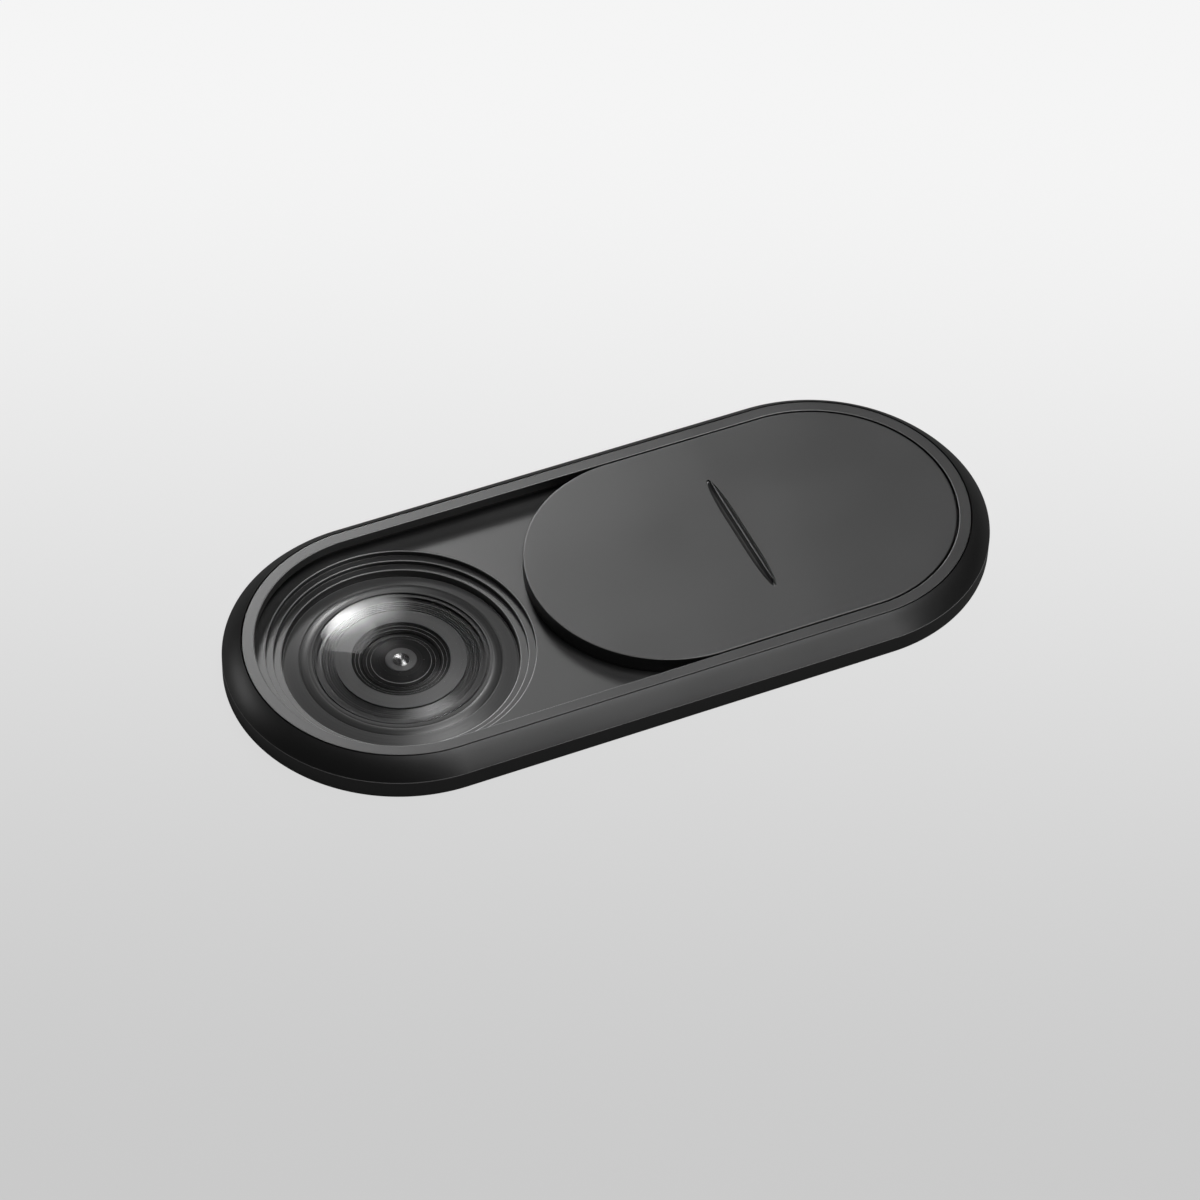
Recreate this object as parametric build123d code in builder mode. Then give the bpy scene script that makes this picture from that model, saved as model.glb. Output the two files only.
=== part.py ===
# Webcam cover slider. A bevelled oval surround holds a rim and a floor, a thin shutter runs between them
# from one end to the other, and a small wide-angle lens sits at the bottom of a stepped window in the floor.
# Origin: centre of the adhesive face. +X runs to the end where the open shutter parks, +Z out of the front.
import os

from build123d import *

# Outline, an oval of two half rounds and two straight sides
LENGTH = 18.0
WIDTH = 7.8
END_X = (LENGTH - WIDTH) / 2
OUTER_R = WIDTH / 2

# Thin stick-on pad under everything
PAD_THICKNESS = 0.08
PAD_R = 3.62
PAD_WINDOW_R = 2.86

# Surround: upright wall, then a slightly rounded bevel up to the rim
WALL_HEIGHT = 0.45
BEVEL_HEIGHT = 0.41
BEVEL_WIDTH = 0.435
BEVEL_BULGE = 0.03
FOOT_CHAMFER = 0.03
WALL_EDGE_R = 0.035
SEAM_CHAMFER = 0.018
WALL_TOP = PAD_THICKNESS + WALL_HEIGHT
RIM_TOP = WALL_TOP + BEVEL_HEIGHT

# Rim: a lip over the track, with a foot that the surround holds down on the floor
RIM_OUTER_R = OUTER_R - BEVEL_WIDTH
RIM_WIDTH = 0.288
RIM_INNER_R = RIM_OUTER_R - RIM_WIDTH
RIM_EDGE = 0.015
RIM_FOOT_R = 3.58
RIM_FOOT_HEIGHT = 0.13
TRACK_DEPTH = 0.125
TRACK_HEIGHT = 0.17

# Floor and the three steps of the lens window, each with its depth below the floor
FLOOR_Z = 0.54
LENS_OFFSET = 0.03
LENS_X = LENS_OFFSET - END_X
WINDOW_R = 2.972
LEDGE_R = 2.803
BORE_R = 2.628
LEDGE_DEPTH = 0.132
BORE_LEDGE_DEPTH = 0.248
LEDGE_EDGE = 0.012

# Shutter: flush with the rim, with a tongue along each side under the lip
SHUTTER_LENGTH = 10.11
SHUTTER_SIDE_GAP = 0.045
SHUTTER_END_GAP = 0.05
RUN_CLEARANCE = 0.01
SHUTTER_R = RIM_INNER_R - SHUTTER_SIDE_GAP
SHUTTER_EDGE = 0.02
SHUTTER_BOTTOM = FLOOR_Z + RUN_CLEARANCE
SHUTTER_SPACING = SHUTTER_LENGTH - 2 * SHUTTER_R
SHUTTER_X = END_X + RIM_INNER_R - SHUTTER_END_GAP - SHUTTER_LENGTH / 2
TONGUE_REACH = 0.123
TONGUE_THICKNESS = 0.13
TONGUE_LEAD = 0.12

# Grip ridge across the shutter, in a shallow relief: a steep foot, a flatter apron, a shoulder and a narrow
# crest, all with the same straight middle between slim round ends
GRIP_MIDDLE = 1.2
GRIP_END = 1.2
GRIP_END_STEP = 0.04
RELIEF_WIDTH = 0.30
RELIEF_DEPTH = 0.03
FOOT_WIDTH = 0.27
APRON_WIDTH = 0.225
APRON_RISE = 0.018
SHOULDER_WIDTH = 0.13
SHOULDER_RISE = 0.035
CREST_WIDTH = 0.03
CREST_RISE = 0.13

# Lens, radii from its own axis
FLANGE_R = 2.78
BEZEL_R = 2.60
BEZEL_INNER_R = 2.265
GROOVE_R = 2.235
LIP_CREST_R = 2.06
LIP_INNER_R = 2.015
LENS_BORE_R = 1.95
GLASS_BACK_R = 1.90
SPACER_R = 1.46
BARREL_R = 1.09
INNER_LENS_R = 0.76
IRIS_R = 0.35
PUPIL_R = 0.185

# Lens, heights above the adhesive face
LENS_BOTTOM = 0.02
BACK_TOP = 0.06
BEZEL_EDGE_Z = 0.085
BEZEL_Z = 0.095
BEZEL_INNER_Z = 0.205
GROOVE_Z = 0.18
BAFFLE_Z = 0.145
SEAT_Z = 0.15
GLASS_EDGE_Z = 0.20
LIP_Z = 0.212
GLASS_APEX_Z = 0.44
GLASS_THICKNESS = 0.07
SPACER_Z = 0.19
BARREL_TOP = 0.155
BARREL_FLOOR = 0.08
INNER_LENS_EDGE_Z = 0.10
INNER_LENS_TOP = 0.15
IRIS_Z = 0.165
PUPIL_EDGE_Z = 0.165
PUPIL_APEX_Z = 0.20

# Fine concentric grooves in the baffle, and the steps down into the barrel
RIB_COUNT = 5
RIB_PITCH = 0.055
RIB_DEPTH = 0.02
STEP_COUNT = 4

lens_axis = Axis((LENS_X, 0, 0), (0, 0, 1))
lens_plane = Plane(origin=(LENS_X, 0, 0), x_dir=(1, 0, 0), z_dir=(0, -1, 0))


def oval(radius, spacing=2 * END_X):
    """Draws a filled oval of half width radius, its end centres spacing apart."""
    SlotCenterToCenter(spacing, 2 * radius)


def grip_outline(width, end):
    """Draws a slim outline along Y, straight in the middle, with a half ellipse of length end at each end."""
    Rectangle(width, GRIP_MIDDLE)
    with Locations((0, -GRIP_MIDDLE / 2), (0, GRIP_MIDDLE / 2)):
        Ellipse(width / 2, end)


# Line that the surround's and the rim's sections follow, all round the oval
with BuildLine() as oval_path:
    Line((0, OUTER_R), (END_X, OUTER_R))
    CenterArc((END_X, 0), OUTER_R, 90, -180)
    Line((END_X, -OUTER_R), (-END_X, -OUTER_R))
    CenterArc((-END_X, 0), OUTER_R, -90, -180)
    Line((-END_X, OUTER_R), (0, OUTER_R))

# Adhesive pad, cut out round the lens
with BuildPart() as adhesive_pad:
    with BuildSketch():
        oval(PAD_R)
        with Locations((LENS_X, 0)):
            Circle(PAD_WINDOW_R, mode=Mode.SUBTRACT)
    extrude(amount=PAD_THICKNESS)

# Floor plate with the stepped window
with BuildPart() as base_plate:
    with BuildSketch(Plane.XY.offset(PAD_THICKNESS)):
        oval(RIM_FOOT_R)
    extrude(amount=FLOOR_Z - PAD_THICKNESS)
    window_steps = (
        (WINDOW_R, LEDGE_DEPTH),
        (LEDGE_R, BORE_LEDGE_DEPTH),
        (BORE_R, FLOOR_Z - PAD_THICKNESS),
    )
    for step_radius, step_depth in window_steps:
        with BuildSketch(Plane.XY.offset(FLOOR_Z)):
            with Locations((LENS_X, 0)):
                Circle(step_radius)
        extrude(amount=-step_depth, mode=Mode.SUBTRACT)
    step_edges = base_plate.edges().filter_by(GeomType.CIRCLE).filter_by(
        lambda edge: edge.radius < RIM_FOOT_R and edge.center().Z > PAD_THICKNESS
    )
    upper_edges = [
        step_edges.filter_by(lambda edge: abs(edge.radius - radius) < LEDGE_EDGE).sort_by(Axis.Z)[-1]
        for radius, depth in window_steps
    ]
    chamfer(upper_edges, LEDGE_EDGE)

# Rim with the track under its lip
with BuildPart() as track_ring:
    with BuildSketch(Plane.YZ):
        with BuildLine():
            Polyline(
                (RIM_INNER_R + TRACK_DEPTH, FLOOR_Z),
                (RIM_FOOT_R, FLOOR_Z),
                (RIM_FOOT_R, FLOOR_Z + RIM_FOOT_HEIGHT),
                (RIM_OUTER_R, FLOOR_Z + RIM_FOOT_HEIGHT),
                (RIM_OUTER_R, RIM_TOP - SEAM_CHAMFER),
                (RIM_OUTER_R - SEAM_CHAMFER, RIM_TOP),
                (RIM_INNER_R + RIM_EDGE, RIM_TOP),
                (RIM_INNER_R, RIM_TOP - RIM_EDGE),
                (RIM_INNER_R, FLOOR_Z + TRACK_HEIGHT),
                (RIM_INNER_R + TRACK_DEPTH, FLOOR_Z + TRACK_HEIGHT),
                close=True,
            )
        make_face()
    sweep(path=oval_path.line)

# Surround, with a shoulder that holds the rim's foot down
with BuildPart() as outer_frame:
    with BuildSketch(Plane.YZ) as frame_section:
        with BuildLine():
            Polyline(
                (RIM_OUTER_R, RIM_TOP - SEAM_CHAMFER),
                (RIM_OUTER_R, FLOOR_Z + RIM_FOOT_HEIGHT),
                (RIM_FOOT_R, FLOOR_Z + RIM_FOOT_HEIGHT),
                (RIM_FOOT_R, PAD_THICKNESS),
                (OUTER_R - FOOT_CHAMFER, PAD_THICKNESS),
                (OUTER_R, PAD_THICKNESS + FOOT_CHAMFER),
                (OUTER_R, WALL_TOP),
            )
            SagittaArc((OUTER_R, WALL_TOP), (RIM_OUTER_R + SEAM_CHAMFER, RIM_TOP), -BEVEL_BULGE)
            Line((RIM_OUTER_R + SEAM_CHAMFER, RIM_TOP), (RIM_OUTER_R, RIM_TOP - SEAM_CHAMFER))
        make_face()
        wall_corner = frame_section.vertices().filter_by_position(Axis.Y, WALL_TOP, WALL_TOP)
        fillet(wall_corner, WALL_EDGE_R)
    sweep(path=oval_path.line)

# Raised grip ridge, narrowing from its foot over apron and shoulder to the crest
with BuildPart() as grip_ridge:
    ridge_levels = (
        (FOOT_WIDTH, 0),
        (APRON_WIDTH, APRON_RISE),
        (SHOULDER_WIDTH, SHOULDER_RISE),
        (CREST_WIDTH, CREST_RISE),
    )
    for level, (ridge_width, rise) in enumerate(ridge_levels, start=1):
        with BuildSketch(Plane((SHUTTER_X, 0, RIM_TOP - RELIEF_DEPTH + rise))):
            grip_outline(ridge_width, GRIP_END - GRIP_END_STEP * level)
    loft(ruled=True)

# Shutter plate with its tongues, and the ridge set in a shallow relief
with BuildPart() as shutter:
    with BuildSketch(Plane((SHUTTER_X, 0, SHUTTER_BOTTOM))):
        oval(SHUTTER_R, SHUTTER_SPACING)
    extrude(amount=RIM_TOP - SHUTTER_BOTTOM)
    chamfer(shutter.faces().sort_by(Axis.Z)[-1].edges(), SHUTTER_EDGE)
    with BuildSketch(Plane((SHUTTER_X, 0, SHUTTER_BOTTOM))):
        tongues = Rectangle(SHUTTER_SPACING, 2 * (SHUTTER_R + TONGUE_REACH))
        chamfer(tongues.vertices(), TONGUE_LEAD)
    extrude(amount=TONGUE_THICKNESS)
    with BuildSketch(Plane((SHUTTER_X, 0, RIM_TOP))):
        grip_outline(RELIEF_WIDTH, GRIP_END)
    extrude(amount=-RELIEF_DEPTH, mode=Mode.SUBTRACT)
    add(grip_ridge.part)

# Lens bezel: a flange under the floor plate, a ring that slopes up to the lens, a fine groove and a round lip
with BuildPart() as lens_bezel:
    with BuildSketch(lens_plane):
        with BuildLine():
            Polyline(
                (LIP_CREST_R, LIP_Z),
                (LIP_INNER_R, GLASS_EDGE_Z),
                (LIP_INNER_R, SEAT_Z),
                (LENS_BORE_R, SEAT_Z),
                (LENS_BORE_R, LENS_BOTTOM),
                (FLANGE_R, LENS_BOTTOM),
                (FLANGE_R, PAD_THICKNESS),
                (BORE_R, PAD_THICKNESS),
                (BORE_R, BEZEL_EDGE_Z),
                (BEZEL_R, BEZEL_Z),
                (BEZEL_INNER_R, BEZEL_INNER_Z),
                (GROOVE_R, GROOVE_Z),
            )
            TangentArc((LIP_CREST_R, LIP_Z), (GROOVE_R, GROOVE_Z), tangent=(1, 0))
        make_face()
    revolve(axis=lens_axis)

# Disc that closes the lens from behind
with BuildPart() as lens_back:
    with BuildSketch(Plane((LENS_X, 0, LENS_BOTTOM))):
        Circle(LENS_BORE_R)
    extrude(amount=BACK_TOP - LENS_BOTTOM)

# Baffle ring with fine grooves close to its inner edge
with BuildPart() as ribbed_baffle:
    with BuildSketch(Plane((LENS_X, 0, BACK_TOP))):
        Circle(LENS_BORE_R)
        Circle(SPACER_R, mode=Mode.SUBTRACT)
    extrude(amount=BAFFLE_Z - BACK_TOP)
    for rib in range(RIB_COUNT):
        rib_radius = SPACER_R + (rib + 0.5) * RIB_PITCH
        with BuildSketch(lens_plane):
            with BuildLine():
                Polyline(
                    (rib_radius, BAFFLE_Z),
                    (rib_radius + RIB_PITCH / 2, BAFFLE_Z - RIB_DEPTH),
                    (rib_radius + RIB_PITCH / 2, BAFFLE_Z),
                    close=True,
                )
            make_face()
        revolve(axis=lens_axis, mode=Mode.SUBTRACT)

# Flat spacer ring, raised above the baffle
with BuildPart() as spacer_ring:
    with BuildSketch(Plane((LENS_X, 0, BACK_TOP))):
        Circle(SPACER_R)
        Circle(BARREL_R, mode=Mode.SUBTRACT)
    extrude(amount=SPACER_Z - BACK_TOP)

# Barrel, a cup whose wall comes down in steps
with BuildPart() as inner_barrel:
    with BuildSketch(Plane((LENS_X, 0, BACK_TOP))):
        Circle(BARREL_R)
    extrude(amount=BARREL_TOP - BACK_TOP)
    for step in range(1, STEP_COUNT + 1):
        step_radius = BARREL_R + (INNER_LENS_R - BARREL_R) * step / STEP_COUNT
        with BuildSketch(Plane((LENS_X, 0, BARREL_TOP))):
            Circle(step_radius)
        extrude(amount=(BARREL_FLOOR - BARREL_TOP) * step / STEP_COUNT, mode=Mode.SUBTRACT)

# Dark domed element in the barrel, open at its middle for the iris
with BuildPart() as inner_lens:
    with BuildSketch(lens_plane):
        with BuildLine():
            Polyline(
                (INNER_LENS_R, INNER_LENS_EDGE_Z),
                (INNER_LENS_R, BARREL_FLOOR),
                (IRIS_R, BARREL_FLOOR),
                (IRIS_R, INNER_LENS_TOP),
            )
            TangentArc((IRIS_R, INNER_LENS_TOP), (INNER_LENS_R, INNER_LENS_EDGE_Z), tangent=(1, 0))
        make_face()
    revolve(axis=lens_axis)

# Flat iris ring round the pupil
with BuildPart() as iris_ring:
    with BuildSketch(Plane((LENS_X, 0, BARREL_FLOOR))):
        Circle(IRIS_R)
        Circle(PUPIL_R, mode=Mode.SUBTRACT)
    extrude(amount=IRIS_Z - BARREL_FLOOR)

# Strongly domed bead in the pupil
with BuildPart() as pupil_lens:
    with BuildSketch(lens_plane):
        with BuildLine():
            Polyline(
                (0, PUPIL_APEX_Z),
                (0, BARREL_FLOOR),
                (PUPIL_R, BARREL_FLOOR),
                (PUPIL_R, PUPIL_EDGE_Z),
            )
            TangentArc((0, PUPIL_APEX_Z), (PUPIL_R, PUPIL_EDGE_Z), tangent=(1, 0))
        make_face()
    revolve(axis=lens_axis)

# Domed front glass of even thickness, seated inside the bezel's lip
with BuildPart() as front_glass:
    with BuildSketch(lens_plane):
        with BuildLine():
            TangentArc((0, GLASS_APEX_Z), (LIP_INNER_R, GLASS_EDGE_Z), tangent=(1, 0))
            Polyline((LIP_INNER_R, GLASS_EDGE_Z), (LIP_INNER_R, SEAT_Z), (GLASS_BACK_R, SEAT_Z))
            TangentArc((0, GLASS_APEX_Z - GLASS_THICKNESS), (GLASS_BACK_R, SEAT_Z), tangent=(1, 0))
            Line((0, GLASS_APEX_Z - GLASS_THICKNESS), (0, GLASS_APEX_Z))
        make_face()
    revolve(axis=lens_axis)

pieces = {
    "adhesive_pad": adhesive_pad,
    "base_plate": base_plate,
    "track_ring": track_ring,
    "outer_frame": outer_frame,
    "shutter": shutter,
    "lens_bezel": lens_bezel,
    "lens_back": lens_back,
    "ribbed_baffle": ribbed_baffle,
    "spacer_ring": spacer_ring,
    "inner_barrel": inner_barrel,
    "inner_lens": inner_lens,
    "iris_ring": iris_ring,
    "pupil_lens": pupil_lens,
    "front_glass": front_glass,
}
os.makedirs("parts", exist_ok=True)
for name, piece in pieces.items():
    piece.part.label = name
    export_step(piece.part, f"parts/{name}.step")
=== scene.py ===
import math

import bmesh
import bpy
from mathutils import Matrix, Vector


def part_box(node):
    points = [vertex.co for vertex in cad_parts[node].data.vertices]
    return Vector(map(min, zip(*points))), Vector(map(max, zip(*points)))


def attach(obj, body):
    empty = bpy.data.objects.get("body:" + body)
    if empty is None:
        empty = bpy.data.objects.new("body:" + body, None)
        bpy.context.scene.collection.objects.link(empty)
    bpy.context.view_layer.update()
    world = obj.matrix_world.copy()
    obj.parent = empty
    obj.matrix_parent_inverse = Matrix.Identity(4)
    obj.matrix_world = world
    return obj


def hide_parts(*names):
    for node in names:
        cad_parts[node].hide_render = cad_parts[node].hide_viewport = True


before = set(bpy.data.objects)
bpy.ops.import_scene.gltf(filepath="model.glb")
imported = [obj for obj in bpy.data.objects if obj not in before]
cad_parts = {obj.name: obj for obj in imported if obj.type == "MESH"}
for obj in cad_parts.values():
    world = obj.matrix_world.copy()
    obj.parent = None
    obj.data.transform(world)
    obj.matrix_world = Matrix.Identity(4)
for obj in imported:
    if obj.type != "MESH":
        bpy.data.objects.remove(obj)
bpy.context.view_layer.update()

# Floor plate: the dark grey plate that the shutter runs on, with the three-step round window for the lens.
# Injection-moulded ABS with a satin face, held down by the rim's foot all round.
MM = 0.001
OUTER_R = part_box("outer_frame")[1].y / MM
END_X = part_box("outer_frame")[1].x / MM - OUTER_R
LENS_X = (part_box("front_glass")[0].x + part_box("front_glass")[1].x) / 2 / MM
PLATE_R = 3.58
PLATE_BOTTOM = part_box("base_plate")[0].z / MM
FLOOR_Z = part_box("base_plate")[1].z / MM
WINDOW_R = 2.972
LEDGE_R = 2.803
BORE_R = 2.628
LEDGE_DEPTH = 0.132
BORE_LEDGE_DEPTH = 0.248
LEDGE_Z = FLOOR_Z - LEDGE_DEPTH
BORE_LEDGE_Z = FLOOR_Z - BORE_LEDGE_DEPTH
STEP_EDGE_R = 0.018
EDGE_STEPS = 4
LENS_DIRECTIONS = 288
CREASE_ANGLE = math.radians(38)
WELD_GAP = 0.00001


def rounded(corners):
    """Turns corners (across, up, edge radius) into points, with an arc at each corner that has a radius.
    A point close beside each end of an arc keeps the faces next to it flat."""
    points = []
    for index, (across, up, radius) in enumerate(corners):
        corner = Vector((across, up))
        if radius == 0:
            points.append(corner)
            continue
        back = (Vector(corners[index - 1][:2]) - corner).normalized()
        on = (Vector(corners[(index + 1) % len(corners)][:2]) - corner).normalized()
        half = back.angle(on) / 2
        centre = corner + (back + on).normalized() * radius / math.sin(half)
        start = corner + back * radius / math.tan(half) - centre
        end = corner + on * radius / math.tan(half) - centre
        turn = math.atan2(start.x * end.y - start.y * end.x, start.dot(end))
        points.append(centre + start + back * radius / 2)
        for step in range(EDGE_STEPS + 1):
            points.append(centre + Matrix.Rotation(turn * step / EDGE_STEPS, 2) @ start)
        points.append(centre + end + on * radius / 2)
    return points


def skin(name, loops, closed=True):
    """Makes one smooth-shaded piece from loops of equal length, in millimetres, joined by bands of faces."""
    count = len(loops[0])
    bands = len(loops) if closed else len(loops) - 1
    faces = []
    for band in range(bands):
        low = band * count
        high = (band + 1) % len(loops) * count
        for here in range(count):
            after = (here + 1) % count
            faces.append((low + here, low + after, high + after, high + here))
    if not closed:
        faces.append(tuple(range(count)))
        faces.append(tuple(range((len(loops) - 1) * count, len(loops) * count)))
    mesh = bpy.data.meshes.new(name)
    mesh.from_pydata([Vector(point) * MM for loop in loops for point in loop], [], faces)
    shape = bmesh.new()
    shape.from_mesh(mesh)
    bmesh.ops.remove_doubles(shape, verts=shape.verts, dist=WELD_GAP * MM)
    loose_edges = [edge for edge in shape.edges if not edge.link_faces]
    bmesh.ops.delete(shape, geom=loose_edges, context="EDGES")
    bmesh.ops.recalc_face_normals(shape, faces=shape.faces)
    shape.to_mesh(mesh)
    shape.free()
    mesh.shade_smooth()
    mesh.set_sharp_from_angle(angle=CREASE_ANGLE)
    piece = bpy.data.objects.new(name, mesh)
    bpy.context.scene.collection.objects.link(piece)
    flat_faces = piece.modifiers.new("flat_faces", "WEIGHTED_NORMAL")
    flat_faces.keep_sharp = True
    return piece


def lens_circle(radius, height):
    """A loop round the lens axis."""
    angles = [2 * math.pi * step / LENS_DIRECTIONS for step in range(LENS_DIRECTIONS)]
    return [(LENS_X + radius * math.cos(angle), radius * math.sin(angle), height) for angle in angles]


def oval_about_lens(radius, height):
    """A loop round the whole oval, with one point in each direction from the lens axis."""
    loop = []
    for step in range(LENS_DIRECTIONS):
        angle = 2 * math.pi * step / LENS_DIRECTIONS
        along = math.cos(angle)
        across = math.sin(angle)
        reach = radius / abs(across) if across else math.inf
        if abs(LENS_X + reach * along) > END_X:
            end = math.copysign(END_X, along) - LENS_X
            reach = end * along + math.sqrt(radius**2 - (end * across) ** 2)
        loop.append((LENS_X + reach * along, reach * across, height))
    return loop


def linear(code):
    """Turns an sRGB hex colour into the linear values that shaders take."""
    parts = [int(code[start:start + 2], 16) / 255 for start in (1, 3, 5)]
    curve = [part / 12.92 if part <= 0.04045 else ((part + 0.055) / 1.055) ** 2.4 for part in parts]
    return (*curve, 1.0)


def add(tree, kind, sockets, **settings):
    """Adds a node with its settings, and gives each named socket its value or its link."""
    node = tree.nodes.new(kind)
    for setting, value in settings.items():
        setattr(node, setting, value)
    for socket, value in sockets.items():
        if isinstance(value, bpy.types.NodeSocket):
            tree.links.new(value, node.inputs[socket])
        else:
            node.inputs[socket].default_value = value
    return node


def new_material(name):
    """A material with an empty node tree."""
    material = bpy.data.materials.new(name)
    material.use_nodes = True
    material.node_tree.nodes.clear()
    return material


# Satin ABS: moulded against a finely spark-eroded tool, so the dark grey takes a soft, wide sheen with a
# faint grain in it, and the tone drifts a little over each face. The real grain is about 0.015 mm wide, too
# fine to show, so it is drawn coarser.
ABS_GRAIN = 0.035
ABS_GRAIN_DEPTH = 0.002
ABS_DRIFT = 2.5


def satin_abs(name, dark, light, smooth, rough):
    """Dark grey moulded plastic between two tones and two roughnesses."""
    material = new_material(name)
    tree = material.node_tree
    place = add(tree, "ShaderNodeTexCoord", {}).outputs["Object"]
    grain = add(tree, "ShaderNodeTexNoise", {
        "Vector": place, "Scale": 1 / (ABS_GRAIN * MM), "Detail": 2.0, "Roughness": 0.6,
    }).outputs["Fac"]
    drift = add(tree, "ShaderNodeTexNoise", {
        "Vector": place, "Scale": 1 / (ABS_DRIFT * MM), "Detail": 3.0,
    }).outputs["Fac"]
    speck = add(tree, "ShaderNodeMix", {"Factor": 0.35, "A": drift, "B": grain}).outputs["Result"]
    tone = add(tree, "ShaderNodeMixRGB", {"Fac": speck, "Color1": linear(dark), "Color2": linear(light)})
    gloss = add(tree, "ShaderNodeMapRange", {
        "Value": speck, "From Min": 0.3, "From Max": 0.7, "To Min": smooth, "To Max": rough,
    })
    relief = add(tree, "ShaderNodeBump", {
        "Height": grain, "Strength": 0.2, "Distance": ABS_GRAIN_DEPTH * MM,
    })
    shader = add(tree, "ShaderNodeBsdfPrincipled", {
        "Base Color": tone.outputs["Color"], "Roughness": gloss.outputs["Result"], "IOR": 1.6,
        "Specular IOR Level": 1.0, "Normal": relief.outputs["Normal"],
    })
    add(tree, "ShaderNodeOutputMaterial", {"Surface": shader.outputs["BSDF"]})
    return material


def fit(piece, material, body, node):
    """Gives a piece its material, and sets it on its body in place of its solid."""
    piece.data.materials.append(material)
    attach(piece, body)
    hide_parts(node)


# Painted edge highlights: the faces along the sharp edges of the mouldings and the turned rings are given a
# pale colour, a painted highlight, so each edge shows as a thin light line.
EDGE_REACH = 0.016


def edge_finish_and_highlight(piece, finish, edges, reach=EDGE_REACH, oval=False):
    """Gives the faces within reach of the edges (radius, height) a finish of their own, real or a painted
    highlight.
    The radius is measured from the lens axis, or for the oval from the line between its end centres."""
    piece.data.materials.append(finish)
    index = len(piece.data.materials) - 1
    for face in piece.data.polygons:
        place = face.center / MM
        if oval:
            radius = math.hypot(max(abs(place.x) - END_X, 0.0), place.y)
        else:
            radius = math.hypot(place.x - LENS_X, place.y)
        if any(math.hypot(radius - edge_r, place.z - edge_z) < reach for edge_r, edge_z in edges):
            face.material_index = index


# Pale ABS for edge lines: a painted highlight.
painted_highlight_abs = satin_abs("painted_highlight_abs_edge", "#8c8c8c", "#9c9c9c", 0.3, 0.38)
housing_abs = satin_abs("satin_abs_housing", "#141414", "#1b1b1b", 0.33, 0.41)
floor_section = rounded([
    (WINDOW_R, FLOOR_Z, STEP_EDGE_R),
    (WINDOW_R, LEDGE_Z, STEP_EDGE_R / 2),
    (LEDGE_R, LEDGE_Z, STEP_EDGE_R),
    (LEDGE_R, BORE_LEDGE_Z, STEP_EDGE_R / 2),
    (BORE_R, BORE_LEDGE_Z, STEP_EDGE_R),
    (BORE_R, PLATE_BOTTOM, 0),
    (PLATE_R, PLATE_BOTTOM, 0),
    (PLATE_R, FLOOR_Z, 0),
])
plate_loops = [lens_circle(radius, height) for radius, height in floor_section[:-2]]
plate_loops += [oval_about_lens(radius, height) for radius, height in floor_section[-2:]]
floor_plate = skin("floor_plate", plate_loops)
fit(floor_plate, housing_abs, "housing", "base_plate")
# The window's step edges are painted pale, as painted highlight lines.
edge_finish_and_highlight(floor_plate, painted_highlight_abs, [(WINDOW_R, FLOOR_Z), (LEDGE_R, LEDGE_Z), (BORE_R, BORE_LEDGE_Z)])

# Lens bezel: a turned black ring that comes up through the floor plate's bore from behind, on a flange.
# Black acetal, with a face that slopes up to the lens, a fine groove and a polished round lip beside the
# glass. Real tool marks are about 0.02 mm apart, too fine to show, so they are drawn coarser.
FLANGE_R = 2.78
LENS_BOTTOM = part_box("lens_bezel")[0].z / MM
BEZEL_R = 2.60
BEZEL_EDGE_Z = 0.085
BEZEL_Z = 0.095
BEZEL_EDGE_R = 0.01
BEZEL_INNER_R = 2.265
BEZEL_INNER_Z = 0.205
GROOVE_R = 2.235
GROOVE_Z = 0.18
GROOVE_EDGE_R = 0.006
LIP_CREST_R = 2.06
LIP_INNER_R = 2.015
LIP_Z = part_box("lens_bezel")[1].z / MM
LIP_BULGE = 0.008
LIP_REACH = 0.09
LENS_BORE_R = 1.95
GLASS_SEAT_Z = 0.15
GLASS_EDGE_Z = 0.20
ARC_STEPS = 12
TURNING_PITCH = 0.06
TURNING_DEPTH = 0.003


def turned_black(name, dark, light, smooth, rough, cut, sheen):
    """Turned black plastic: fine rings round the lens axis in its tone, its gloss and its relief.
    The tool marks spread light across themselves, so it fans out on two opposite sides of the axis."""
    material = new_material(name)
    tree = material.node_tree
    place = add(tree, "ShaderNodeTexCoord", {}).outputs["Object"]
    offset = add(tree, "ShaderNodeVectorMath", {0: place, 1: (LENS_X * MM, 0, 0)}, operation="SUBTRACT")
    flat = add(tree, "ShaderNodeVectorMath", {
        0: offset.outputs["Vector"], 1: (1, 1, 0),
    }, operation="MULTIPLY")
    radius = add(tree, "ShaderNodeVectorMath", {0: flat.outputs["Vector"]}, operation="LENGTH")
    rings = add(tree, "ShaderNodeTexNoise", {
        "W": radius.outputs["Value"], "Scale": 1 / (TURNING_PITCH * MM), "Detail": 2.0, "Roughness": 0.6,
    }, noise_dimensions="1D").outputs["Fac"]
    tone = add(tree, "ShaderNodeMixRGB", {"Fac": rings, "Color1": linear(dark), "Color2": linear(light)})
    gloss = add(tree, "ShaderNodeMapRange", {
        "Value": rings, "From Min": 0.3, "From Max": 0.7, "To Min": smooth, "To Max": rough,
    })
    relief = add(tree, "ShaderNodeBump", {"Height": rings, "Strength": cut, "Distance": TURNING_DEPTH * MM})
    marks = add(tree, "ShaderNodeTangent", {}, direction_type="RADIAL", axis="Z")
    shader = add(tree, "ShaderNodeBsdfPrincipled", {
        "Base Color": tone.outputs["Color"], "Roughness": gloss.outputs["Result"], "IOR": 1.48,
        "Specular IOR Level": sheen, "Anisotropic": 0.75, "Anisotropic Rotation": 0.25,
        "Tangent": marks.outputs["Tangent"], "Normal": relief.outputs["Normal"],
    })
    add(tree, "ShaderNodeOutputMaterial", {"Surface": shader.outputs["BSDF"]})
    return material


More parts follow.
